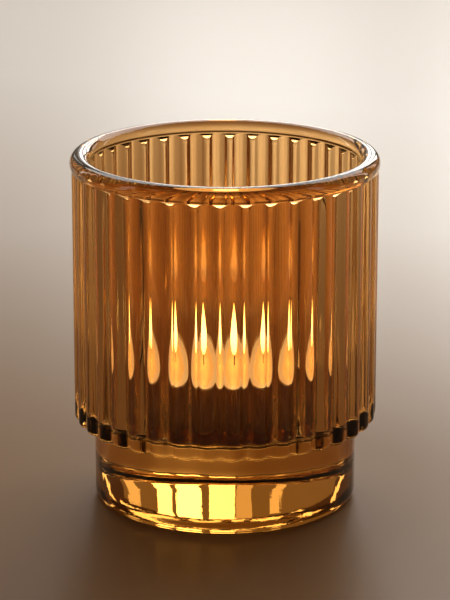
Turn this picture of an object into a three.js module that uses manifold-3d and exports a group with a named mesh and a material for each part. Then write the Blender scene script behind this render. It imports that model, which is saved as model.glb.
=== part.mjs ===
// A ribbed tealight holder of pressed amber glass, with the tealight that burns in its well.
//
// Units are millimetres, +Z is up, and the origin is the centre of the foot's underside.
// The glass is one pressing: a plain round foot with a thick floor, a ribbed wall and a rolled
// rim. The tealight stands loose on the floor of the well and lifts straight out of the mouth:
// an aluminium cup, the solid wax, the pool melted in its top, the wick and the tin disc with
// the collar that holds the wick upright.

import * as THREE from 'three';
import { mergeVertices } from 'three/addons/utils/BufferGeometryUtils.js';
import Module from 'manifold-3d';

// Glass holder
const HOLDER_HEIGHT = 70;
const BODY_RADIUS = 30;             // over the crowns of the ribs
const FLOOR_THICKNESS = 17.6;       // solid glass under the well
const FOOT_RADIUS = 26;
const FOOT_HEIGHT = 16.2;           // up to the ends of the ribs
const FOOT_CORNER_RADIUS = 1.9;
const RECESS_RADIUS = 19;           // shallow hollow in the underside
const RECESS_DEPTH = 0.8;
const RIM_BEAD_RADIUS = 1.9;        // the rim is a round bead twice this thick
const RIM_OVERHANG = 0.3;           // of the bead past the crowns of the ribs
const WELL_DRAFT = 0.5;             // the well is this much narrower at its floor
const WELL_FILLET_RADIUS = 2.4;
const RIB_COUNT = 38;
const RIB_FLANK_ANGLE = Math.PI * 50 / 180;
const RIB_CROWN_SHARE = 0.7;        // of the pitch that is convex crown, the rest is groove
const RIB_TOP_DROP = 3.4;           // from the top of the rim down to the ends of the ribs
const RIB_FOOT_ROUND = 1.3;         // rounding of each rib's lower end
const GROOVE_FLAT_DEPTH = 0.12;     // the plain wall fills the lowest part of each groove
const GROOVE_FOOT_RISE = 0.6;       // the grooves end this much higher than the ribs

// Tealight
const CUP_RADIUS = 19;
const CUP_HEIGHT = 10;
const CUP_WALL = 0.3;
const CUP_CORNER_RADIUS = 1.2;
const CUP_LIP_RADIUS = 0.4;
const WAX_DROP = 1.2;               // the wax stands this much below the cup's lip
const WAX_EDGE_ROUND = 0.5;
const POOL_RADIUS = 12.8;
const POOL_DEPTH = 2.2;
const WICK_RADIUS = 0.75;
const WICK_STAND = 4.6;             // wick above the wax
const WICK_TIP_ROUND = 0.4;
const SUSTAINER_RADIUS = 6.25;
const SUSTAINER_THICKNESS = 0.4;
const COLLAR_WALL = 0.4;
const COLLAR_HEIGHT = 3;

// Clear space between pieces that rest on or in each other
const CLEARANCE = 0.3;

const GLASS_SEGMENTS = 2 * RIB_COUNT;
const TEALIGHT_SEGMENTS = 48;
const SMALL_SEGMENTS = 20;
const ARC_SEGMENTS = 4;

// Places that follow from the sizes above
const RIM_OUTER_RADIUS = BODY_RADIUS + RIM_OVERHANG;
const RIM_CREST_RADIUS = RIM_OUTER_RADIUS - RIM_BEAD_RADIUS;
const WELL_RADIUS = RIM_CREST_RADIUS - RIM_BEAD_RADIUS;
const WELL_FLOOR_RADIUS = WELL_RADIUS - WELL_DRAFT;
const BEAD_CENTRE_Z = HOLDER_HEIGHT - RIM_BEAD_RADIUS;
const RIB_TOP_Z = HOLDER_HEIGHT - RIB_TOP_DROP;
const HALF_PITCH = Math.PI * BODY_RADIUS / RIB_COUNT;
const RIB_CROWN_RADIUS = RIB_CROWN_SHARE * HALF_PITCH / Math.sin(RIB_FLANK_ANGLE);
const RIB_DEPTH = HALF_PITCH * Math.tan(RIB_FLANK_ANGLE / 2);
const WALL_RADIUS = BODY_RADIUS - RIB_DEPTH + GROOVE_FLAT_DEPTH;
const WAX_RADIUS = CUP_RADIUS - CUP_WALL - CLEARANCE;
const WAX_TOP_Z = CUP_HEIGHT - WAX_DROP;
const CUP_FLOOR_Z = CUP_WALL + CLEARANCE;
const BORE_RADIUS = WICK_RADIUS + CLEARANCE;
const COLLAR_RADIUS = BORE_RADIUS + COLLAR_WALL;
const COLLAR_TOP_Z = CUP_FLOOR_Z + SUSTAINER_THICKNESS + COLLAR_HEIGHT;

const wasm = await Module();
wasm.setup();

const point = (r, z) => new THREE.Vector2(r, z);

/** Points of an arc about (r, z) from one angle to another, both ends included. */
function arc(r, z, radius, from, to, segments = ARC_SEGMENTS) {
  const points = [];
  for (let i = 0; i <= segments; i += 1) {
    const angle = THREE.MathUtils.lerp(from, to, i / segments);
    points.push(point(r + radius * Math.cos(angle), z + radius * Math.sin(angle)));
  }
  return points;
}

/** The same geometry with shared vertices joined and collapsed triangles dropped. */
function weld(geometry) {
  geometry.deleteAttribute('normal');
  geometry.deleteAttribute('uv');
  const welded = mergeVertices(geometry, 1e-4);
  const index = welded.getIndex().array;
  const kept = [];
  for (let i = 0; i < index.length; i += 3) {
    const [a, b, c] = index.slice(i, i + 3);
    if (a !== b && b !== c && c !== a) {
      kept.push(a, b, c);
    }
  }
  welded.setIndex(kept);
  return welded;
}

/** A solid of revolution about +Z. The profile runs counter-clockwise in (radius, z). */
function turned(profile, segments) {
  const geometry = new THREE.LatheGeometry(profile, segments);
  geometry.rotateX(Math.PI / 2);
  return weld(geometry);
}

/** A ring of revolution: the profile is closed by going back to its first point. */
function turnedRing(profile, segments) {
  return turned([...profile, profile[0].clone()], segments);
}

function toManifold(geometry) {
  return new wasm.Manifold(new wasm.Mesh({
    numProp: 3,
    vertProperties: new Float32Array(geometry.getAttribute('position').array),
    triVerts: new Uint32Array(geometry.getIndex().array),
  }));
}

function fromManifold(solid) {
  const mesh = solid.getMesh();
  const geometry = new THREE.BufferGeometry();
  geometry.setAttribute('position', new THREE.BufferAttribute(mesh.vertProperties, 3));
  geometry.setIndex(new THREE.BufferAttribute(mesh.triVerts, 1));
  return geometry;
}

function piece(name, geometry, look) {
  geometry.computeVertexNormals();
  const mesh = new THREE.Mesh(geometry, new THREE.MeshStandardMaterial(look));
  mesh.name = name;
  return mesh;
}

// ---- Glass holder ----

/** The outside of the pressing without its ribs, solid through, from the recess to the rim. */
function holderOutside() {
  const grooveFootZ = FOOT_HEIGHT + GROOVE_FOOT_RISE;
  const shoulder = RIM_CREST_RADIUS - WALL_RADIUS;
  const neckAngle = -Math.acos(-shoulder / RIM_BEAD_RADIUS);
  return turned([
    point(0, RECESS_DEPTH),
    point(RECESS_RADIUS, RECESS_DEPTH),
    point(RECESS_RADIUS + RECESS_DEPTH, 0),
    ...arc(FOOT_RADIUS - FOOT_CORNER_RADIUS, FOOT_CORNER_RADIUS, FOOT_CORNER_RADIUS,
      -Math.PI / 2, 0),
    point(FOOT_RADIUS, grooveFootZ),
    point(WALL_RADIUS, grooveFootZ),
    ...arc(RIM_CREST_RADIUS, BEAD_CENTRE_Z, RIM_BEAD_RADIUS, neckAngle, Math.PI / 2, 10),
    point(0, HOLDER_HEIGHT),
  ], GLASS_SEGMENTS);
}

/** Plan outline of all the ribs: convex crowns joined through the lowest point of each groove.
 *  A crown faces straight to the front. */
function ribOutline() {
  const shape = new THREE.Shape();
  const pitch = 2 * Math.PI / RIB_COUNT;
  const points = [];
  for (let rib = 0; rib < RIB_COUNT; rib += 1) {
    for (const share of [-1, -0.5, 0, 0.5, 1]) {
      const lean = share * RIB_FLANK_ANGLE;
      const angle = (rib + 0.5) * pitch + RIB_CROWN_RADIUS * Math.sin(lean) / BODY_RADIUS;
      const radius = BODY_RADIUS - RIB_CROWN_RADIUS * (1 - Math.cos(lean));
      points.push(point(radius * Math.cos(angle), radius * Math.sin(angle)));
    }
    const groove = (rib + 1) * pitch;
    const low = BODY_RADIUS - RIB_DEPTH;
    points.push(point(low * Math.cos(groove), low * Math.sin(groove)));
  }
  shape.setFromPoints(points);
  return shape;
}

/** The ribs as one solid prism, from their lower ends to the ledges under the rim. */
function ribPrism() {
  const geometry = new THREE.ExtrudeGeometry(ribOutline(), {
    depth: RIB_TOP_Z - FOOT_HEIGHT,
    steps: 1,
    bevelEnabled: false,
  });
  geometry.translate(0, 0, FOOT_HEIGHT);
  return weld(geometry);
}

/** A round block that leaves the ribs whole but for the rounding of their lower ends. */
function ribFootEnvelope() {
  const outside = BODY_RADIUS + RIB_FOOT_ROUND;
  return turned([
    point(0, FOOT_HEIGHT),
    ...arc(BODY_RADIUS - RIB_FOOT_ROUND, FOOT_HEIGHT + RIB_FOOT_ROUND, RIB_FOOT_ROUND,
      -Math.PI / 2, 0),
    point(outside, FOOT_HEIGHT + 2 * RIB_FOOT_ROUND),
    point(outside, HOLDER_HEIGHT),
    point(0, HOLDER_HEIGHT),
  ], GLASS_SEGMENTS);
}

/** The space inside the glass: floor, fillet, drafted wall and the inner half of the bead. */
function wellSpace() {
  const filletRadius = WELL_FLOOR_RADIUS - WELL_FILLET_RADIUS;
  return turned([
    point(0, FLOOR_THICKNESS),
    ...arc(filletRadius, FLOOR_THICKNESS + WELL_FILLET_RADIUS, WELL_FILLET_RADIUS,
      -Math.PI / 2, 0),
    ...arc(RIM_CREST_RADIUS, BEAD_CENTRE_Z, RIM_BEAD_RADIUS, Math.PI, Math.PI / 2, 6),
    point(RIM_CREST_RADIUS, HOLDER_HEIGHT + RIM_BEAD_RADIUS),
    point(0, HOLDER_HEIGHT + RIM_BEAD_RADIUS),
  ], GLASS_SEGMENTS);
}

function glassHolder() {
  const ribs = toManifold(ribPrism()).intersect(toManifold(ribFootEnvelope()));
  const glass = toManifold(holderOutside()).add(ribs).subtract(toManifold(wellSpace()));
  return piece('glass_holder', fromManifold(glass), {
    color: 0xa8641f, roughness: 0.05, metalness: 0, transparent: true, opacity: 0.5,
  });
}

// ---- Tealight, with z = 0 at the underside of its cup ----

/** Thin pressed cup: the outside up to a rolled lip, then the inside back to the axis. */
function tealightCup() {
  const inner = CUP_CORNER_RADIUS - CUP_WALL;
  return piece('tealight_cup', turned([
    point(0, 0),
    ...arc(CUP_RADIUS - CUP_CORNER_RADIUS, CUP_CORNER_RADIUS, CUP_CORNER_RADIUS,
      -Math.PI / 2, 0),
    point(CUP_RADIUS, CUP_HEIGHT - 2 * CUP_LIP_RADIUS),
    ...arc(CUP_RADIUS, CUP_HEIGHT - CUP_LIP_RADIUS, CUP_LIP_RADIUS, -Math.PI / 4, Math.PI / 2),
    point(CUP_RADIUS - CUP_WALL, CUP_HEIGHT),
    ...arc(CUP_RADIUS - CUP_CORNER_RADIUS, CUP_CORNER_RADIUS, inner, 0, -Math.PI / 2),
    point(0, CUP_WALL),
  ], TEALIGHT_SEGMENTS), { color: 0xb9bbbd, roughness: 0.3, metalness: 1 });
}

/** Solid wax: fits the cup, is bored for the wick and its collar, and has a dished pool bed. */
function waxBody() {
  const corner = CUP_CORNER_RADIUS - CUP_WALL;
  const discClear = SUSTAINER_RADIUS + CLEARANCE;
  const discTop = CUP_FLOOR_Z + SUSTAINER_THICKNESS + CLEARANCE;
  const collarClear = COLLAR_RADIUS + CLEARANCE;
  const collarTop = COLLAR_TOP_Z + CLEARANCE;
  const bedZ = WAX_TOP_Z - POOL_DEPTH;
  return piece('wax_body', turnedRing([
    point(discClear, CUP_FLOOR_Z),
    ...arc(WAX_RADIUS - corner, CUP_FLOOR_Z + corner, corner, -Math.PI / 2, 0),
    ...arc(WAX_RADIUS - WAX_EDGE_ROUND, WAX_TOP_Z - WAX_EDGE_ROUND, WAX_EDGE_ROUND,
      0, Math.PI / 2, 3),
    point(POOL_RADIUS, WAX_TOP_Z),
    ...poolBed(POOL_RADIUS, bedZ),
    point(BORE_RADIUS, bedZ),
    point(BORE_RADIUS, collarTop),
    point(collarClear, collarTop),
    point(collarClear, discTop),
    point(discClear, discTop),
  ], TEALIGHT_SEGMENTS), { color: 0xf2cf9c, roughness: 0.45, metalness: 0 });
}

/** The rounded edge of the pool's bed, from just under the surface in to the flat of the bed. */
function poolBed(radius, bedZ) {
  return arc(radius - POOL_DEPTH, WAX_TOP_Z, POOL_DEPTH, 0, -Math.PI / 2)
    .slice(1)
    .map((p) => point(p.x, Math.max(p.y, bedZ)));
}

/** Liquid wax lying in the bed, round the wick. */
function meltedWax() {
  const edge = POOL_RADIUS - CLEARANCE;
  const depth = POOL_DEPTH - CLEARANCE;
  return piece('melted_wax', turnedRing([
    point(BORE_RADIUS, WAX_TOP_Z - depth),
    ...arc(edge - depth, WAX_TOP_Z, depth, -Math.PI / 2, 0),
    point(BORE_RADIUS, WAX_TOP_Z),
  ], TEALIGHT_SEGMENTS), { color: 0xe59a3c, roughness: 0.08, metalness: 0 });
}

/** Tin disc on the cup's floor, with the collar that grips the wick. */
function wickSustainer() {
  const floor = CUP_FLOOR_Z;
  const discTop = floor + SUSTAINER_THICKNESS;
  return piece('wick_sustainer', turnedRing([
    point(BORE_RADIUS, floor),
    point(SUSTAINER_RADIUS, floor),
    point(SUSTAINER_RADIUS, discTop),
    point(COLLAR_RADIUS, discTop),
    point(COLLAR_RADIUS, COLLAR_TOP_Z),
    point(BORE_RADIUS, COLLAR_TOP_Z),
  ], SMALL_SEGMENTS), { color: 0xa9a9a4, roughness: 0.35, metalness: 1 });
}

/** Braided cotton wick from the cup's floor up through the wax, with a burnt, rounded tip. */
function wick() {
  const top = WAX_TOP_Z + WICK_STAND;
  return piece('wick', turned([
    point(0, CUP_FLOOR_Z),
    point(WICK_RADIUS, CUP_FLOOR_Z),
    ...arc(WICK_RADIUS - WICK_TIP_ROUND, top - WICK_TIP_ROUND, WICK_TIP_ROUND,
      0, Math.PI / 2, 3),
    point(0, top),
  ], SMALL_SEGMENTS), { color: 0x2a1c14, roughness: 0.9, metalness: 0 });
}

function tealight() {
  const group = new THREE.Group();
  group.add(tealightCup(), waxBody(), meltedWax(), wickSustainer(), wick());
  group.position.z = FLOOR_THICKNESS + CLEARANCE;
  return group;
}

const holder = new THREE.Group();
holder.add(glassHolder(), tealight());

export default holder;
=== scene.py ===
"""Tealight holder: a tumbler of ribbed amber glass with a lit tealight standing in its well.

All lengths are in metres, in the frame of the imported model. The foot stands on z = 0, the axis of
the glass is the z axis, and the front is towards -Y.
"""

import logging
import math
from collections.abc import Sequence
from dataclasses import dataclass
from enum import Enum

import bpy
import numpy as np
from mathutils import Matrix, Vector


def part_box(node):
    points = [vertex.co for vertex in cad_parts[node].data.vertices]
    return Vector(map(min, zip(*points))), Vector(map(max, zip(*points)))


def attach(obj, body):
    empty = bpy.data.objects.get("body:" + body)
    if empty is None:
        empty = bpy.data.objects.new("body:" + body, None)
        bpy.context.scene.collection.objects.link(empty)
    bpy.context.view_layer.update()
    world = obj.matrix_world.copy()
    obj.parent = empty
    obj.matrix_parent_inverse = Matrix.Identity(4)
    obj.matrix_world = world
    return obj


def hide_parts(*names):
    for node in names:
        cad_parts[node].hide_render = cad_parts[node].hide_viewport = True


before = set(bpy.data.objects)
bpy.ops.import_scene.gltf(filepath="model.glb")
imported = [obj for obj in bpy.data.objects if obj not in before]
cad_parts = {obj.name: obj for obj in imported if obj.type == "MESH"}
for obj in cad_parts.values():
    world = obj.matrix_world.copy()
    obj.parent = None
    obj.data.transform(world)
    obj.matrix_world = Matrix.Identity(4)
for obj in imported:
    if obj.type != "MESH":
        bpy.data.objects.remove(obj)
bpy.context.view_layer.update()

LOG = logging.getLogger("tealight_holder")
MM = 0.001
Colour = tuple[float, float, float]
Array = np.ndarray


def heights(node: str) -> tuple[float, float]:
    """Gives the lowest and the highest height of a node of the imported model."""
    low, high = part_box(node)
    return low[2], high[2]


# ---------------------------------------------------------------- outlines and surfaces


class Ends(Enum):
    """How the two ends of an outline are closed when it is carried round the axis."""

    POLES = "both ends lie on the axis"
    LOOP = "the outline comes back to its own start"


def arc(centre: tuple[float, float], radius: float, start: float, end: float, steps: int) -> Array:
    """Points along part of a circle: the centre plus the radius times cosine and sine of the turn.

    Args:
        centre: Radius from the axis and height of the circle's centre.
        radius: Radius of the circle.
        start: Turn at the first point, in degrees from straight outwards.
        end: Turn at the last point, in degrees.
        steps: Number of points.

    Returns:
        An array of steps rows, each a radius from the axis and a height.
    """
    turn = np.radians(np.linspace(start, end, steps))
    return np.stack([centre[0] + radius * np.cos(turn), centre[1] + radius * np.sin(turn)], axis=1)


def run(start: tuple[float, float], end: tuple[float, float], steps: int) -> Array:
    """Points evenly along a straight stretch of outline: start plus a share of the way to end.

    Args:
        start: Radius and height of the first point.
        end: Radius and height of the last point.
        steps: Number of points.

    Returns:
        An array of steps rows, each a radius from the axis and a height.
    """
    share = np.linspace(0.0, 1.0, steps)[:, None]
    return np.array(start) + share * (np.array(end) - np.array(start))


def ease(value: Array, low: float, high: float) -> Array:
    """Rises from 0 at low to 1 at high along the cubic 3t^2 - 2t^3, t being the share of the way."""
    t = np.clip((value - low) / (high - low), 0.0, 1.0)
    return t * t * (3.0 - 2.0 * t)


def around(count: int) -> Array:
    """Angles of count columns spaced evenly round the axis, starting at the front."""
    return -0.5 * np.pi + 2.0 * np.pi * np.arange(count) / count


def carried_round(radius: Array, height: Array, angle: Array) -> Array:
    """Carries an outline round the axis: x = r cos a, y = r sin a, z = height.

    Args:
        radius: Radii, one column or one for each angle.
        height: Heights, of the same shape as radius.
        angle: The angle of each column.

    Returns:
        A grid of points, rows along the outline and columns round the axis.
    """
    radius, height, angle = np.broadcast_arrays(radius, height, angle[None, :])
    return np.stack([radius * np.cos(angle), radius * np.sin(angle), height], axis=-1)


def turned(outline: Array, count: int) -> Array:
    """Carries one plain outline round the axis in count columns."""
    return carried_round(outline[:, 0:1], outline[:, 1:2], around(count))


def skin(name: str, grid: Array, ends: Ends, crease: float = 40.0) -> bpy.types.Object:
    """Makes a closed mesh over a grid of points, with faces outwards for an outline that runs
    from the bottom, outwards, up and back in.

    Args:
        name: Name of the new piece.
        grid: Rows along the outline, columns round the axis, three coordinates.
        ends: Whether the end rows are single points on the axis or join each other.
        crease: Angle in degrees above which an edge stays sharp.

    Returns:
        The new object, at the origin.
    """
    rows, columns = grid.shape[:2]
    ring = np.arange(columns)
    after = (ring + 1) % columns
    if ends is Ends.POLES:
        points = np.concatenate([grid[0].mean(0)[None], grid[1:-1].reshape(-1, 3), grid[-1].mean(0)[None]])
        first, body, last = 0, 1, len(points) - 1
        start = body + (np.arange(rows - 3) * columns)[:, None]
        bottom = np.stack([np.full(columns, first), body + after, body + ring], axis=1)
        edge = body + (rows - 3) * columns
        top = np.stack([edge + ring, edge + after, np.full(columns, last)], axis=1)
        fans = bottom.tolist() + top.tolist()
        following = start + columns
    else:
        points = grid.reshape(-1, 3)
        start = (np.arange(rows) * columns)[:, None]
        following = (((np.arange(rows) + 1) % rows) * columns)[:, None]
        fans = []
    quads = np.stack([start + ring, start + after, following + after, following + ring], axis=-1)
    mesh = bpy.data.meshes.new(name)
    mesh.from_pydata(points.tolist(), [], quads.reshape(-1, 4).tolist() + fans)
    mesh.polygons.foreach_set("use_smooth", np.ones(len(mesh.polygons), dtype=bool))
    mesh.set_sharp_from_angle(angle=math.radians(crease))
    mesh.update()
    piece = bpy.data.objects.new(name, mesh)
    bpy.context.scene.collection.objects.link(piece)
    return piece


# ---------------------------------------------------------------- finishes


class Shader:
    """The nodes of one material, added and wired by short calls."""

    def __init__(self, name: str) -> None:
        """Starts a material that has only its surface shader and its output."""
        self.material = bpy.data.materials.new(name)
        self.material.use_nodes = True
        self.nodes = self.material.node_tree.nodes
        self.links = self.material.node_tree.links
        self.surface = self.nodes["Principled BSDF"]
        self.output = self.nodes["Material Output"]

    def set(self, **values: float | Colour) -> None:
        """Sets plain numbers and colours on the surface shader, spaces written as underscores."""
        for name, value in values.items():
            socket = self.surface.inputs[name.replace("_", " ")]
            socket.default_value = (*value, 1.0) if socket.type == "RGBA" else value

    def place(self, scale: Colour = (1.0, 1.0, 1.0)) -> bpy.types.NodeSocket:
        """Gives the piece's own coordinates, in metres, stretched by scale.

        Args:
            scale: How many times each coordinate is multiplied.

        Returns:
            The socket that carries the coordinates.
        """
        where = self.nodes.new("ShaderNodeTexCoord")
        mapping = self.nodes.new("ShaderNodeMapping")
        mapping.inputs["Scale"].default_value = scale
        self.links.new(where.outputs["Object"], mapping.inputs["Vector"])
        return mapping.outputs["Vector"]

    def noise(self, scale: float, stretch: Colour = (1.0, 1.0, 1.0), detail: float = 3.0,
              roughness: float = 0.5) -> bpy.types.NodeSocket:
        """Adds a cloudy pattern in the piece's own coordinates.

        Args:
            scale: Clouds per metre.
            stretch: How many times each coordinate is multiplied first.
            detail: Number of finer layers.
            roughness: How strongly the finer layers show.

        Returns:
            The pattern's value socket.
        """
        node = self.nodes.new("ShaderNodeTexNoise")
        node.inputs["Scale"].default_value = scale
        node.inputs["Detail"].default_value = detail
        node.inputs["Roughness"].default_value = roughness
        self.links.new(self.place(stretch), node.inputs["Vector"])
        return node.outputs["Fac"]

    def ramp(self, factor: bpy.types.NodeSocket,
             stops: Sequence[tuple[float, Colour]]) -> bpy.types.NodeSocket:
        """Turns a value into a colour by stops along a line.

        Args:
            factor: The value to look up.
            stops: Places from 0 to 1 and their colours, in rising order.

        Returns:
            The colour socket.
        """
        node = self.nodes.new("ShaderNodeValToRGB")
        line = node.color_ramp.elements
        while len(line) < len(stops):
            line.new(0.5)
        for element, (place, colour) in zip(line, stops):
            element.position = place
            element.color = (*colour, 1.0)
        self.links.new(factor, node.inputs["Fac"])
        return node.outputs["Color"]

    def spread(self, factor: bpy.types.NodeSocket, low: float, high: float, from_low: float = 0.3,
               from_high: float = 0.7) -> bpy.types.NodeSocket:
        """Maps a value from one range to another, held at the ends.

        Args:
            factor: The value to map.
            low: Result at from_low.
            high: Result at from_high.
            from_low: Start of the range read.
            from_high: End of the range read.

        Returns:
            The mapped value socket.
        """
        node = self.nodes.new("ShaderNodeMapRange")
        node.inputs["From Min"].default_value = from_low
        node.inputs["From Max"].default_value = from_high
        node.inputs["To Min"].default_value = low
        node.inputs["To Max"].default_value = high
        self.links.new(factor, node.inputs["Value"])
        return node.outputs["Result"]

    def height(self) -> bpy.types.NodeSocket:
        """Gives the height above the foot, in metres."""
        split = self.nodes.new("ShaderNodeSeparateXYZ")
        self.links.new(self.place(), split.inputs["Vector"])
        return split.outputs["Z"]

    def reach(self) -> bpy.types.NodeSocket:
        """Gives the distance from the axis, in metres: the length of x and y together."""
        length = self.nodes.new("ShaderNodeVectorMath")
        length.operation = "LENGTH"
        self.links.new(self.place((1.0, 1.0, 0.0)), length.inputs[0])
        return length.outputs["Value"]

    def along(self, direction: Colour) -> bpy.types.NodeSocket:
        """Gives the distance from the origin along a direction of length one, in metres."""
        dot = self.nodes.new("ShaderNodeVectorMath")
        dot.operation = "DOT_PRODUCT"
        dot.inputs[1].default_value = direction
        self.links.new(self.place(), dot.inputs[0])
        return dot.outputs["Value"]

    def relief(self, pattern: bpy.types.NodeSocket, depth: float, strength: float = 1.0) -> None:
        """Raises and lowers the surface by a pattern.

        Args:
            pattern: Height pattern from 0 to 1.
            depth: Height of the pattern, in metres.
            strength: Share of the relief that shows.
        """
        bump = self.nodes.new("ShaderNodeBump")
        bump.inputs["Distance"].default_value = depth
        bump.inputs["Strength"].default_value = strength
        self.links.new(pattern, bump.inputs["Height"])
        self.links.new(bump.outputs["Normal"], self.surface.inputs["Normal"])

    def feed(self, source: bpy.types.NodeSocket, name: str) -> None:
        """Wires a socket into the named input of the surface shader."""
        self.links.new(source, self.surface.inputs[name])


@dataclass(frozen=True)
class AmberGlass:
    """Clear pressed glass coloured amber, glossy, with faint vertical drag marks."""

    tint: Colour = (0.875, 0.525, 0.215)
    deep_tint: Colour = (0.835, 0.46, 0.17)
    refraction: float = 1.52
    body_colour: Colour = (0.95, 0.72, 0.07)
    body_density: float = 26.0
    drag_depth: float = 0.02 * MM

    def build(self) -> bpy.types.Material:
        """Makes the glass material."""
        shader = Shader("amber_glass")
        shader.set(Transmission_Weight=1.0, Roughness=0.0, IOR=self.refraction, Base_Color=self.tint)
        clouds = shader.noise(60.0, (1.0, 1.0, 0.35), detail=2.0)
        shader.feed(shader.ramp(clouds, [(0.35, self.tint), (0.7, self.deep_tint)]), "Base Color")
        shader.relief(shader.noise(900.0, (1.0, 1.0, 0.06), detail=2.0), self.drag_depth, 0.5)
        volume = shader.nodes.new("ShaderNodeVolumeAbsorption")
        volume.inputs["Color"].default_value = (*self.body_colour, 1.0)
        volume.inputs["Density"].default_value = self.body_density
        shader.links.new(volume.outputs["Volume"], shader.output.inputs["Volume"])
        return shader.material


@dataclass(frozen=True)
class PressedAluminium:
    """Thin drawn aluminium, brushed by the draw, a little sooty in patches here and there."""

    metal: Colour = (0.66, 0.64, 0.61)
    stained: Colour = (0.34, 0.29, 0.24)

    def build(self) -> bpy.types.Material:
        """Makes the cup's metal."""
        shader = Shader("cup_aluminium")
        shader.set(Metallic=1.0, Base_Color=self.metal)
        clouds = shader.noise(420.0, (1.0, 1.0, 0.5), detail=4.0, roughness=0.6)
        shader.feed(shader.ramp(clouds, [(0.45, self.metal), (0.75, self.stained)]), "Base Color")
        drawn = shader.noise(3500.0, (1.0, 1.0, 0.03), detail=2.0)
        shader.feed(shader.spread(drawn, 0.24, 0.42), "Roughness")
        shader.relief(drawn, 0.03 * MM, 0.4)
        return shader.material


@dataclass(frozen=True)
class Wax:
    """Paraffin wax with a painted glow, lighter towards the wick, standing in for its own flame's light
    shining through it.
    """

    name: str
    # near and far: partly the wax's own colour, partly painted glow, lighter near the wick.
    near: Colour
    far: Colour
    reach: float
    # glow: strength of the painted glow, the wax being no lamp.
    glow: float
    gloss: float
    grain_depth: float
    grain_share: float = 0.18

    def build(self) -> bpy.types.Material:
        """Makes the wax material, its colour running from near at the wick to far at reach, with the grain's
        share of that run added. The same colour feeds a painted glow, so the wax is lighter towards the wick."""
        shader = Shader(self.name)
        # The emission is a painted glow standing in for the flame's light in the wax.
        shader.set(Subsurface_Weight=0.35, Subsurface_Radius=(0.004, 0.002, 0.001), Subsurface_Scale=0.5,
                   IOR=1.43, Emission_Strength=self.glow, Coat_Weight=0.15, Coat_Roughness=0.08)
        grain = shader.noise(900.0, detail=5.0, roughness=0.6)
        across = shader.nodes.new("ShaderNodeMath")
        across.operation = "MULTIPLY_ADD"
        across.inputs[1].default_value = self.grain_share
        shader.links.new(grain, across.inputs[0])
        way = shader.spread(shader.reach(), 0.0, 1.0 - self.grain_share, 0.0, self.reach)
        shader.links.new(way, across.inputs[2])
        # Colour lighter towards the wick: painted glow, fed to base colour and emission.
        colour = shader.ramp(across.outputs["Value"], [(0.05, self.near), (0.95, self.far)])
        shader.feed(colour, "Base Color")
        shader.feed(colour, "Emission Color")
        shader.feed(shader.spread(grain, self.gloss, self.gloss + 0.15), "Roughness")
        shader.relief(grain, self.grain_depth, 0.6)
        return shader.material


@dataclass(frozen=True)
class BurntWick:
    """Charred cotton, black and crumbly, with an ember at its tip."""

    tip: float
    char: Colour = (0.012, 0.009, 0.008)
    ash: Colour = (0.06, 0.04, 0.03)
    ember: Colour = (1.0, 0.16, 0.02)
    ember_reach: float = 1.2 * MM

    def build(self) -> bpy.types.Material:
        """Makes the wick material, glowing ever more over the ember's reach below the tip."""
        shader = Shader("burnt_wick")
        shader.set(Roughness=0.9, Emission_Strength=4.0)
        crumbs = shader.noise(3000.0, detail=5.0, roughness=0.7)
        shader.feed(shader.ramp(crumbs, [(0.4, self.char), (0.75, self.ash)]), "Base Color")
        glow = shader.spread(shader.height(), 0.0, 1.0, self.tip - self.ember_reach, self.tip)
        shader.feed(shader.ramp(glow, [(0.0, (0.0, 0.0, 0.0)), (1.0, self.ember)]), "Emission Color")
        shader.relief(crumbs, 0.1 * MM, 0.8)
        return shader.material


@dataclass(frozen=True)
class Tinplate:
    """Dull tinned steel with the spangle of its coating."""

    bright: Colour = (0.62, 0.61, 0.59)
    dull: Colour = (0.42, 0.41, 0.40)

    def build(self) -> bpy.types.Material:
        """Makes the sustainer's metal."""
        shader = Shader("tinplate")
        shader.set(Metallic=1.0)
        spangle = shader.noise(1400.0, detail=3.0)
        shader.feed(shader.ramp(spangle, [(0.4, self.bright), (0.65, self.dull)]), "Base Color")
        shader.feed(shader.spread(spangle, 0.3, 0.5), "Roughness")
        shader.relief(spangle, 0.02 * MM, 0.4)
        return shader.material


@dataclass(frozen=True)
class FlameGlow:
    """Light of a candle flame: amber at its foot, near white in the body, gold at the tip."""

    foot: float
    tip: float
    strength: float = 8.0
    stops: tuple[tuple[float, Colour], ...] = (
        (0.0, (0.55, 0.2, 0.05)), (0.16, (1.0, 0.72, 0.34)), (0.45, (1.0, 0.88, 0.5)),
        (0.8, (1.0, 0.76, 0.34)), (1.0, (0.9, 0.5, 0.12)))

    def build(self) -> bpy.types.Material:
        """Makes the flame's light, graded by height from foot to tip."""
        shader = Shader("candle_flame")
        shader.nodes.remove(shader.surface)
        light = shader.nodes.new("ShaderNodeEmission")
        light.inputs["Strength"].default_value = self.strength
        height = shader.spread(shader.height(), 0.0, 1.0, self.foot, self.tip)
        shader.links.new(shader.ramp(height, self.stops), light.inputs["Color"])
        shader.links.new(light.outputs["Emission"], shader.output.inputs["Surface"])
        return shader.material


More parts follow.
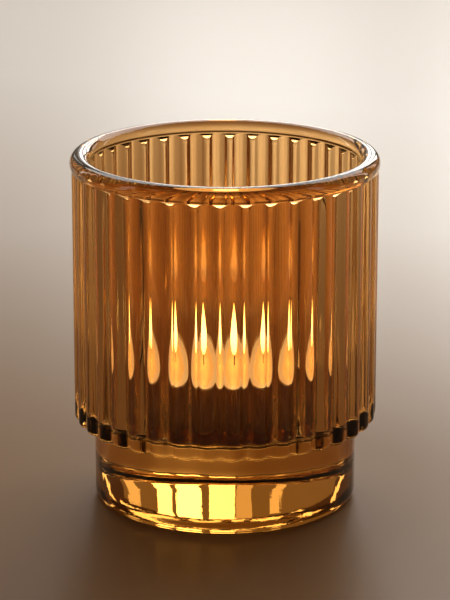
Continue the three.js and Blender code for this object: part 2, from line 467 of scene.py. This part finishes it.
@dataclass(frozen=True)
class StudioFloor:
    """Plain pale floor with a low sheen, with painted shade: darker and browner towards the front, and a
    painted contact shadow round the foot.
    """

    # near: painted shade, the floor's colour towards the front and round the foot.
    near: Colour = (0.31, 0.20, 0.115)
    far: Colour = (0.70, 0.67, 0.64)
    near_place: float = -0.02
    far_place: float = 0.34
    # Painted contact shadow: darkest out to the first reach from the axis, gone at the second.
    foot_shadow_reach: float = 0.04
    shadow_clear_reach: float = 0.21
    line_back: Colour = (0.45, 0.893, 0.0)
    least_share: float = 0.12
    near_sheen: float = 0.03
    far_sheen: float = 0.5
    roughness: float = 0.36

    def build(self) -> bpy.types.Material:
        """Makes the floor material. Its colour and sheen run from near to far by the product of two shares,
        one along the line from front to back and one out from the foot. Near is painted shade: darker towards
        the front, and a painted contact shadow round the foot."""
        shader = Shader("studio_floor")
        unshaded_share = shader.nodes.new("ShaderNodeMath")
        unshaded_share.operation = "MULTIPLY"
        # Painted shade, darkening the floor towards the front.
        way = shader.spread(shader.along(self.line_back), self.least_share, 1.0, self.near_place,
                            self.far_place)
        shader.links.new(way, unshaded_share.inputs[0])
        # Painted contact shadow round the foot.
        out = shader.spread(shader.reach(), 0.0, 1.0, self.foot_shadow_reach, self.shadow_clear_reach)
        shader.links.new(out, unshaded_share.inputs[1])
        shader.feed(shader.ramp(unshaded_share.outputs["Value"], [(0.0, self.near), (1.0, self.far)]), "Base Color")
        # The sheen falls with the painted shade.
        sheen = shader.spread(unshaded_share.outputs["Value"], self.near_sheen, self.far_sheen, 0.0, 0.8)
        shader.feed(sheen, "Specular IOR Level")
        shader.set(Roughness=self.roughness)
        return shader.material


# ---------------------------------------------------------------- the glass


@dataclass
class GlassHolder:
    """One pressing of amber glass: plain thick foot, ribbed wall, rolled rim and a smooth well."""

    height: float
    rim_radius: float = 30.3 * MM
    body_radius: float = 30.0 * MM
    foot_radius: float = 26.0 * MM
    foot_height: float = 16.2 * MM
    foot_corner: float = 1.9 * MM
    neck_round: float = 0.7 * MM
    recess_radius: float = 19.0 * MM
    recess_depth: float = 0.8 * MM
    well_floor: float = 17.6 * MM
    mouth_radius: float = 26.5 * MM
    well_draft: float = 0.5 * MM
    well_fillet: float = 2.4 * MM
    bead_radius: float = 1.9 * MM
    rib_count: int = 38
    crown_share: float = 0.7
    flank_angle: float = 50.0
    rib_foot_round: float = 1.3 * MM
    rib_top: float = 66.96 * MM
    ledge_height: float = 0.95 * MM
    ledge_curve: float = 1.56
    wave_height: float = 0.02 * MM
    foot_unevenness: float = 3.0
    well_unevenness: float = 2.0
    columns_per_rib: int = 22
    swells: tuple[tuple[int, float, float], ...] = (
        (3, 40.0, 0.5), (7, 90.0, 0.35), (13, 60.0, 0.25), (29, 150.0, 0.15), (61, 35.0, 0.1))

    def rib_drop(self, angle: Array) -> Array:
        """Depth of the ribs' outline below the crests round the glass. A crown and the hollow
        beside it are arcs that share a tangent at the flank angle, the crown taking its share of
        the half pitch. An arc of radius r has fallen r - sqrt(r^2 - s^2) at the distance s.

        Args:
            angle: Angles round the axis.

        Returns:
            The drop at each angle, zero on a crest and minus the depth in a groove.
        """
        pitch = 2.0 * np.pi / self.rib_count
        half = 0.5 * pitch * self.body_radius
        from_crown = np.abs((angle + 0.5 * np.pi + 0.5 * pitch) % pitch - 0.5 * pitch) * self.body_radius
        flank = math.radians(self.flank_angle)
        crown = self.crown_share * half / math.sin(flank)
        hollow = (1.0 - self.crown_share) * half / math.sin(flank)
        on_crown = crown - np.sqrt(crown**2 - np.minimum(from_crown, self.crown_share * half)**2)
        from_groove = np.clip(half - from_crown, 0.0, (1.0 - self.crown_share) * half)
        in_hollow = hollow - np.sqrt(hollow**2 - from_groove**2)
        depth = (crown + hollow) * (1.0 - math.cos(flank))
        return -np.where(from_crown < self.crown_share * half, on_crown, depth - in_hollow)

    def waves(self, angle: Array, height: Array, seed: float) -> Array:
        """Slow unevenness of pressed glass: a sum of sines of the angle and the height. Each swell
        gives one sine's waves round the glass, its turn per metre of height and its share.

        Args:
            angle: Angles round the axis.
            height: Heights, one column.
            seed: Phase that sets one face of the glass apart from the other.

        Returns:
            A grid of small heights.
        """
        total = np.zeros(np.broadcast_shapes(angle.shape, height.shape))
        for turns, rise, share in self.swells:
            total = total + share * np.sin(turns * angle + rise * height + seed * turns)
        return self.wave_height * total

    def foot_rows(self) -> Array:
        """Outline of the underside and the foot, from the axis out to under the ribs."""
        reach = np.linspace(0.0, self.foot_radius - self.foot_corner, 9)
        rise = self.recess_depth * (1.0 - ease(reach, self.recess_radius - 2.5 * MM, self.recess_radius + MM))
        corner = arc((self.foot_radius - self.foot_corner, self.foot_corner), self.foot_corner, -90, 0, 9)
        neck = arc((self.foot_radius + self.neck_round, self.foot_height - self.neck_round),
                   self.neck_round, 180, 90, 5)
        return np.concatenate([np.stack([reach, rise], axis=1), corner[1:],
                               run((self.foot_radius, 3.5 * MM), (self.foot_radius, 14 * MM), 8), neck])

    def rim_rows(self) -> Array:
        """Outline of the rolled rim and the well, from the top of the ribs in to the axis."""
        centre = (self.rim_radius - self.bead_radius, self.height - self.bead_radius)
        floor_radius = self.mouth_radius - self.well_draft
        bead = arc(centre, self.bead_radius, -32, 180, 26)
        wall_foot = self.well_floor + self.well_fillet
        wall = run((self.mouth_radius, centre[1] - 2 * MM), (floor_radius, wall_foot), 12)
        fillet = arc((floor_radius - self.well_fillet, wall_foot), self.well_fillet, 0, -90, 8)
        floor = run((15 * MM, self.well_floor), (0.0, self.well_floor), 3)
        return np.concatenate([bead, wall, fillet[1:], floor])

    def foot_part(self, angle: Array) -> Array:
        """The underside and the foot, its side a little uneven between its corner and its neck.

        Args:
            angle: The angle of each column.

        Returns:
            A grid of points, rows outwards and up, columns round the axis.
        """
        outline = self.foot_rows()
        radius, height = outline[:, 0:1], outline[:, 1:2]
        side = ease(height, 2 * MM, 5 * MM) - ease(height, 12 * MM, 15 * MM)
        side = side * (radius > self.recess_radius)
        uneven = self.foot_unevenness * side * self.waves(angle, height, 2.9)
        return carried_round(radius + uneven, height, angle)

    def rib_part(self, angle: Array) -> Array:
        """The ribs: rounded lower ends, upright walls, and the ledges in which the grooves end. Where
        the surface lies at the share d of the ribs' depth, a ledge is its height times d to the
        power of its curve below the top of the ribs.

        Args:
            angle: The angle of each column.

        Returns:
            A grid of points, rows upwards and columns round the axis.
        """
        drop = self.rib_drop(angle)[None, :]
        turn = np.radians(np.linspace(8.0, 90.0, 7))[:, None]
        feet = carried_round(self.body_radius + drop - self.rib_foot_round * (1.0 - np.sin(turn)),
                             self.foot_height + self.rib_foot_round * (1.0 - np.cos(turn)), angle)
        low, high = self.foot_height + 2 * MM, self.rib_top - self.ledge_height - MM
        height = np.linspace(low, high, 16)[:, None]
        wall = carried_round(self.body_radius + drop + self.waves(angle, height, 0.3), height, angle)
        sunk = drop * np.linspace(1.0, 0.0, 9)[:, None]
        below = self.ledge_height * (sunk / drop.min())**self.ledge_curve
        ledges = carried_round(self.body_radius + sunk, self.rib_top - below, angle)
        return np.concatenate([feet, wall, ledges])

    def well_part(self, angle: Array) -> Array:
        """The rolled rim and the well, its wall a little uneven between rim and floor.

        Args:
            angle: The angle of each column.

        Returns:
            A grid of points, rows over the rim and down to the axis, columns round it.
        """
        outline = self.rim_rows()
        radius, height = outline[:, 0:1], outline[:, 1:2]
        wall = ease(height, self.well_floor, self.well_floor + 4 * MM)
        wall = wall - ease(height, self.rib_top - 4 * MM, self.rib_top - MM)
        uneven = self.well_unevenness * wall * self.waves(angle, height, 1.7)
        return carried_round(radius + uneven, height, angle)

    def grid(self) -> Array:
        """The whole skin as a grid: the foot, the ribs, and then the rim and the well."""
        angle = around(self.rib_count * self.columns_per_rib)
        return np.concatenate([self.foot_part(angle), self.rib_part(angle), self.well_part(angle)])

    def build(self) -> bpy.types.Object:
        """Makes the glass, dresses it and lets it ride on the holder."""
        piece = skin("glass_tumbler", self.grid(), Ends.POLES, crease=50.0)
        piece.data.materials.append(AmberGlass().build())
        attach(piece, "holder")
        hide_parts("glass_holder")
        return piece


# ---------------------------------------------------------------- the tealight


@dataclass
class Tealight:
    """A burning tealight: aluminium cup, solid wax, melted pool, wick, sustainer and flame, which
    starts flame_sink below the wick's tip and ends flame_rise above it."""

    base: float
    cup_top: float
    wax_top: float
    wick_top: float
    cup_radius: float = 19.0 * MM
    cup_wall: float = 0.25 * MM
    cup_corner: float = 1.2 * MM
    cup_draft: float = 0.15 * MM
    base_ring: float = 10.4 * MM
    base_edge: float = 17.0 * MM
    lip_radius: float = 0.38 * MM
    wax_radius: float = 18.62 * MM
    pool_radius: float = 13.2 * MM
    pool_depth: float = 2.2 * MM
    curl_reach: float = 0.5 * MM
    wick_radius: float = 0.7 * MM
    flame_radius: float = 4.5 * MM
    flame_sink: float = 2.3 * MM
    flame_rise: float = 8.3 * MM
    columns: int = 96

    def cup(self) -> bpy.types.Object:
        """The cup: a drawn shell with a stamped base ring, a rounded corner and a rolled lip."""
        outer, inner, top = self.cup_radius, self.cup_radius - self.cup_wall, self.cup_top
        corner, ring, edge = self.cup_corner, self.base_ring, self.base_edge
        below = np.array([(0.0, self.base + 0.35 * MM), (9.0 * MM, self.base + 0.35 * MM),
                          (9.6 * MM, self.base + 0.1 * MM), (ring, self.base), (edge, self.base)])
        side = arc((outer - self.cup_draft - corner, self.base + corner), corner, -90, 0, 8)
        lip = arc((outer - self.lip_radius, top - self.lip_radius), self.lip_radius, -30, 200, 14)
        within = run((inner, top - 1.2 * MM), (inner - self.cup_draft, self.base + corner), 4)
        heel = arc((inner - self.cup_draft - corner, self.base + corner), corner - self.cup_wall, 0, -90, 6)
        floor = np.array([(edge, self.base + self.cup_wall), (ring, self.base + self.cup_wall),
                          (9.4 * MM, self.base + 0.6 * MM), (0.0, self.base + 0.6 * MM)])
        outline = np.concatenate([below, side, lip, within, heel, floor])
        angle = around(self.columns * 3)
        wall = ease(outline[:, 1:2], self.base + 2 * MM, self.base + 4 * MM) - ease(
            outline[:, 1:2], top - 1.6 * MM, top - 0.8 * MM)
        crimp = -0.05 * MM * wall * (0.5 + 0.5 * np.cos(48.0 * angle))[None, :]
        grid = carried_round(outline[:, 0:1] + crimp, outline[:, 1:2] * np.ones_like(crimp), angle)
        return self.dressed(skin("tealight_cup_shell", grid, Ends.POLES), PressedAluminium().build(),
                            "tealight_cup")

    def wax(self) -> bpy.types.Object:
        """The solid wax: a disc whose top climbs the cup wall and sinks into a bowl at the pool."""
        low = self.base + 0.7 * MM
        reach = np.linspace(self.wax_radius, 0.0, 40)
        bowl = self.pool_depth * (1.0 - ease(reach, 0.45 * self.pool_radius, self.pool_radius + 0.4 * MM))
        climb = 0.35 * MM * ease(reach, self.wax_radius - 1.4 * MM, self.wax_radius)
        top = np.stack([reach, self.wax_top + climb - bowl], axis=1)
        base = np.array([(0.0, low), (9.0 * MM, low), (self.base_edge, low), (self.wax_radius, low + MM),
                         (self.wax_radius, self.wax_top - MM)])
        outline = np.concatenate([base, top])
        angle = around(self.columns)
        uneven = 0.05 * MM * np.sin(5.0 * angle + 0.7) + 0.04 * MM * np.sin(11.0 * angle)
        on_top = ease(outline[:, 1:2], self.wax_top - 0.6 * MM, self.wax_top)
        shore = on_top * ease(outline[:, 0:1], 0.5 * self.pool_radius, self.pool_radius)
        height = outline[:, 1:2] + shore * uneven[None, :]
        grid = carried_round(outline[:, 0:1] * np.ones_like(height), height, angle)
        # Solid wax: near, far and glow set its painted glow, lighter near the wick.
        finish = Wax("solid_wax", near=(1.0, 0.92, 0.74), far=(0.96, 0.86, 0.72), reach=self.wax_radius,
                     glow=0.56, gloss=0.42, grain_depth=0.1 * MM)
        return self.dressed(skin("wax_ring", grid, Ends.POLES, 80.0), finish.build(), "wax_body")

    def pool(self) -> bpy.types.Object:
        """The melted pool: a thin lens round the wick, curling up where it meets wick and wax."""
        hole, edge = self.wick_radius + 0.05 * MM, self.pool_radius + 0.25 * MM
        out = np.linspace(hole, edge, 24)
        level = self.wax_top - 0.12 * MM
        under = level - 0.06 * MM - (self.pool_depth - 0.3 * MM) * (1.0 - ease(out, 0.45 * edge, edge))
        back = out[::-1]
        curl = 0.35 * MM * np.exp(-(back - hole) / self.curl_reach)
        curl = curl + 0.1 * MM * np.exp(-(edge - back) / self.curl_reach)
        outline = np.concatenate([np.stack([out, under], axis=1), np.stack([back, level + curl], axis=1)])
        # Melted wax: near, far and glow set its painted glow, lighter near the wick.
        finish = Wax("liquid_wax", near=(1.0, 0.86, 0.52), far=(1.0, 0.78, 0.46), reach=self.pool_radius,
                     glow=0.50, gloss=0.14, grain_depth=0.02 * MM)
        return self.dressed(skin("wax_pool", turned(outline, self.columns), Ends.LOOP, 80.0),
                            finish.build(), "melted_wax")

    def wick(self) -> bpy.types.Object:
        """The wick: a braided cord along a line that leans as it rises, tapering to a burnt tip.
        Each ring's radius is the cord's plus a small cosine of three strands winding with height."""
        height = np.linspace(self.base + 1.4 * MM, self.wick_top - 0.1 * MM, 60)
        share = (height - height[0]) / (height[-1] - height[0])
        angle = around(30)
        above = np.clip((height - self.wax_top) / (self.wick_top - self.wax_top), 0.0, 1.0)
        lean = 0.55 * MM * above**2
        taper = (1.0 - 0.3 * ease(share, 0.75, 1.0)) * np.sqrt(1.0 - ease(share, 0.93, 1.0) * 0.9)
        strands = 1.0 + 0.13 * np.cos(3.0 * angle[None, :] + 3200.0 * height[:, None])
        radius = self.wick_radius * 0.88 * taper[:, None] * strands
        grid = carried_round(radius, height[:, None] * np.ones_like(radius), angle)
        grid[..., 0] += lean[:, None]
        grid = np.concatenate([grid[:1].mean(1, keepdims=True) + 0 * grid[:1], grid,
                               grid[-1:].mean(1, keepdims=True) + 0 * grid[-1:]])
        return self.dressed(skin("wick_braid", grid, Ends.POLES, 60.0), BurntWick(self.wick_top).build(),
                            "wick")

    def flame(self) -> bpy.types.Object:
        """The flame: a drop whose radius is its greatest times sin(pi t^0.6)^0.9, t being the
        share of its height, drawn a little to one side at the tip."""
        share = np.linspace(0.0, 1.0, 40)
        swell = np.sin(np.pi * np.clip(share, 0, 1) ** 0.6) ** 0.9 * (1.0 - 0.2 * share)
        foot, tip = self.wick_top - self.flame_sink, self.wick_top + self.flame_rise
        height = foot + share * (tip - foot)
        grid = turned(np.stack([self.flame_radius * np.abs(swell), height], axis=1), 40)
        grid[..., 0] += (0.2 * MM + 0.35 * MM * share**2)[:, None]
        piece = skin("flame", grid, Ends.POLES, 80.0)
        piece.data.materials.append(FlameGlow(foot, tip).build())
        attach(piece, "tealight")
        return piece

    def sustainer(self) -> bpy.types.Object:
        """Dresses the wick sustainer, whose shape is already right."""
        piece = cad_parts["wick_sustainer"]
        piece.data.materials.clear()
        piece.data.materials.append(Tinplate().build())
        return piece

    def dressed(self, piece: bpy.types.Object, finish: bpy.types.Material, node: str) -> bpy.types.Object:
        """Gives a piece its finish and lets it ride on the tealight in place of a plain node.

        Args:
            piece: The finished mesh.
            finish: Its material.
            node: Name of the node it stands for.

        Returns:
            The same piece.
        """
        piece.data.materials.append(finish)
        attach(piece, "tealight")
        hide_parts(node)
        return piece

    def build(self) -> list[bpy.types.Object]:
        """Makes every piece of the tealight."""
        return [self.cup(), self.wax(), self.pool(), self.wick(), self.sustainer(), self.flame()]


# ---------------------------------------------------------------- the studio


def towards(bearing: float, rise: float) -> Vector:
    """Gives a direction of length one: (sin b cos r, -cos b cos r, sin r).

    Args:
        bearing: The angle b round from the front, in degrees.
        rise: The angle r above level, in degrees.

    Returns:
        The direction.
    """
    turn, lift = math.radians(bearing), math.radians(rise)
    return Vector((math.sin(turn) * math.cos(lift), -math.cos(turn) * math.cos(lift), math.sin(lift)))


@dataclass(frozen=True)
class Softbox:
    """A soft panel of light that faces the object."""

    name: str
    bearing: float
    rise: float
    distance: float
    width: float
    height: float
    watts: float
    colour: Colour = (1.0, 0.97, 0.92)

    def build(self, target: Vector) -> bpy.types.Object:
        """Hangs the panel on its bearing from the front, turned to face the target.

        Args:
            target: The point that it faces.

        Returns:
            The light.
        """
        light = bpy.data.lights.new(self.name, "AREA")
        light.shape = "RECTANGLE"
        light.size = self.width
        light.size_y = self.height
        light.energy = self.watts
        light.color = self.colour
        panel = bpy.data.objects.new(self.name, light)
        away = towards(self.bearing, self.rise)
        panel.location = target + self.distance * away
        panel.rotation_euler = (-away).to_track_quat("-Z", "Y").to_euler()
        bpy.context.scene.collection.objects.link(panel)
        return panel


@dataclass
class Studio:
    """Pale floor, soft panels and the camera."""

    aim_height: float = 39.9 * MM
    camera_distance: float = 561.2 * MM
    look_down: float = 16.41
    camera_bearing: float = -2.8
    lens: float = 170.45
    ambient: Colour = (1.0, 0.56, 0.26)
    ambient_strength: float = 0.08
    floor_half: float = 3.0
    panels: tuple[Softbox, ...] = (
        Softbox("window_middle", 166.5, 19.0, 1.05, 0.13, 0.42, 1.2),
        Softbox("window_left", 176.5, 19.0, 1.05, 0.13, 0.42, 0.8),
        Softbox("window_right", 157.5, 19.0, 1.05, 0.11, 0.42, 0.8),
        Softbox("window_edge", 183.0, 19.0, 1.05, 0.08, 0.42, 0.08),
        Softbox("window_side", 143.0, 16.0, 1.2, 0.12, 0.4, 0.16),
        Softbox("window_far", 194.0, 16.0, 1.2, 0.06, 0.3, 0.06),
        Softbox("backdrop", 180.0, 16.0, 1.35, 2.4, 0.6, 1.0, (1.0, 0.86, 0.66)),
        Softbox("canopy", 168.0, 47.0, 0.75, 1.0, 0.4, 3.4),
        Softbox("strip_left", -132.0, 20.0, 0.9, 0.06, 0.5, 0.25),
        Softbox("strip_right", 122.0, 20.0, 0.9, 0.06, 0.5, 0.25),
        Softbox("side_left", -80.0, 18.0, 0.8, 0.10, 0.6, 0.3, (1.0, 0.84, 0.62)),
        Softbox("side_right", 70.0, 25.0, 0.9, 0.1, 0.5, 0.25, (1.0, 0.84, 0.62)),
    )

    def floor(self) -> bpy.types.Object:
        """The floor, one wide flat sheet under the foot."""
        half = self.floor_half
        mesh = bpy.data.meshes.new("studio_floor")
        mesh.from_pydata([(-half, -half, 0), (half, -half, 0), (half, half, 0), (-half, half, 0)], [],
                         [(0, 1, 2, 3)])
        mesh.materials.append(StudioFloor().build())
        sheet = bpy.data.objects.new("studio_floor", mesh)
        bpy.context.scene.collection.objects.link(sheet)
        return sheet

    def air(self) -> None:
        """Sets the dim even light that comes from everywhere, and the plain view transform."""
        world = bpy.data.worlds.new("studio_air")
        world.use_nodes = True
        background = world.node_tree.nodes["Background"]
        background.inputs["Color"].default_value = (*self.ambient, 1.0)
        background.inputs["Strength"].default_value = self.ambient_strength
        bpy.context.scene.world = world
        bpy.context.scene.view_settings.view_transform = "Standard"

    def camera(self) -> bpy.types.Object:
        """The camera, looking slightly down at the middle of the glass from the front."""
        data = bpy.data.cameras.new("camera")
        data.lens = self.lens
        data.sensor_width = 36.0
        eye = bpy.data.objects.new("camera", data)
        back = towards(self.camera_bearing, self.look_down)
        eye.location = Vector((0.0, 0.0, self.aim_height)) + self.camera_distance * back
        eye.rotation_euler = (-back).to_track_quat("-Z", "Y").to_euler()
        bpy.context.scene.collection.objects.link(eye)
        bpy.context.scene.camera = eye
        return eye

    def build(self) -> None:
        """Sets up camera, floor, air and panels."""
        self.camera()
        self.floor()
        self.air()
        target = Vector((0.0, 0.0, self.aim_height))
        for panel in self.panels:
            panel.build(target)


def main() -> None:
    """Builds the studio, the glass and the tealight, and reports each piece."""
    logging.basicConfig(level=logging.INFO, format="%(name)s: %(message)s")
    Studio().build()
    glass = GlassHolder(height=heights("glass_holder")[1])
    base, cup_top = heights("tealight_cup")
    tealight = Tealight(base, cup_top, wax_top=heights("wax_body")[1], wick_top=heights("wick")[1])
    pieces = [glass.build(), *tealight.build()]
    for piece in pieces:
        LOG.info("%s: %d faces", piece.name, len(piece.data.polygons))


if __name__ == "__main__":
    main()
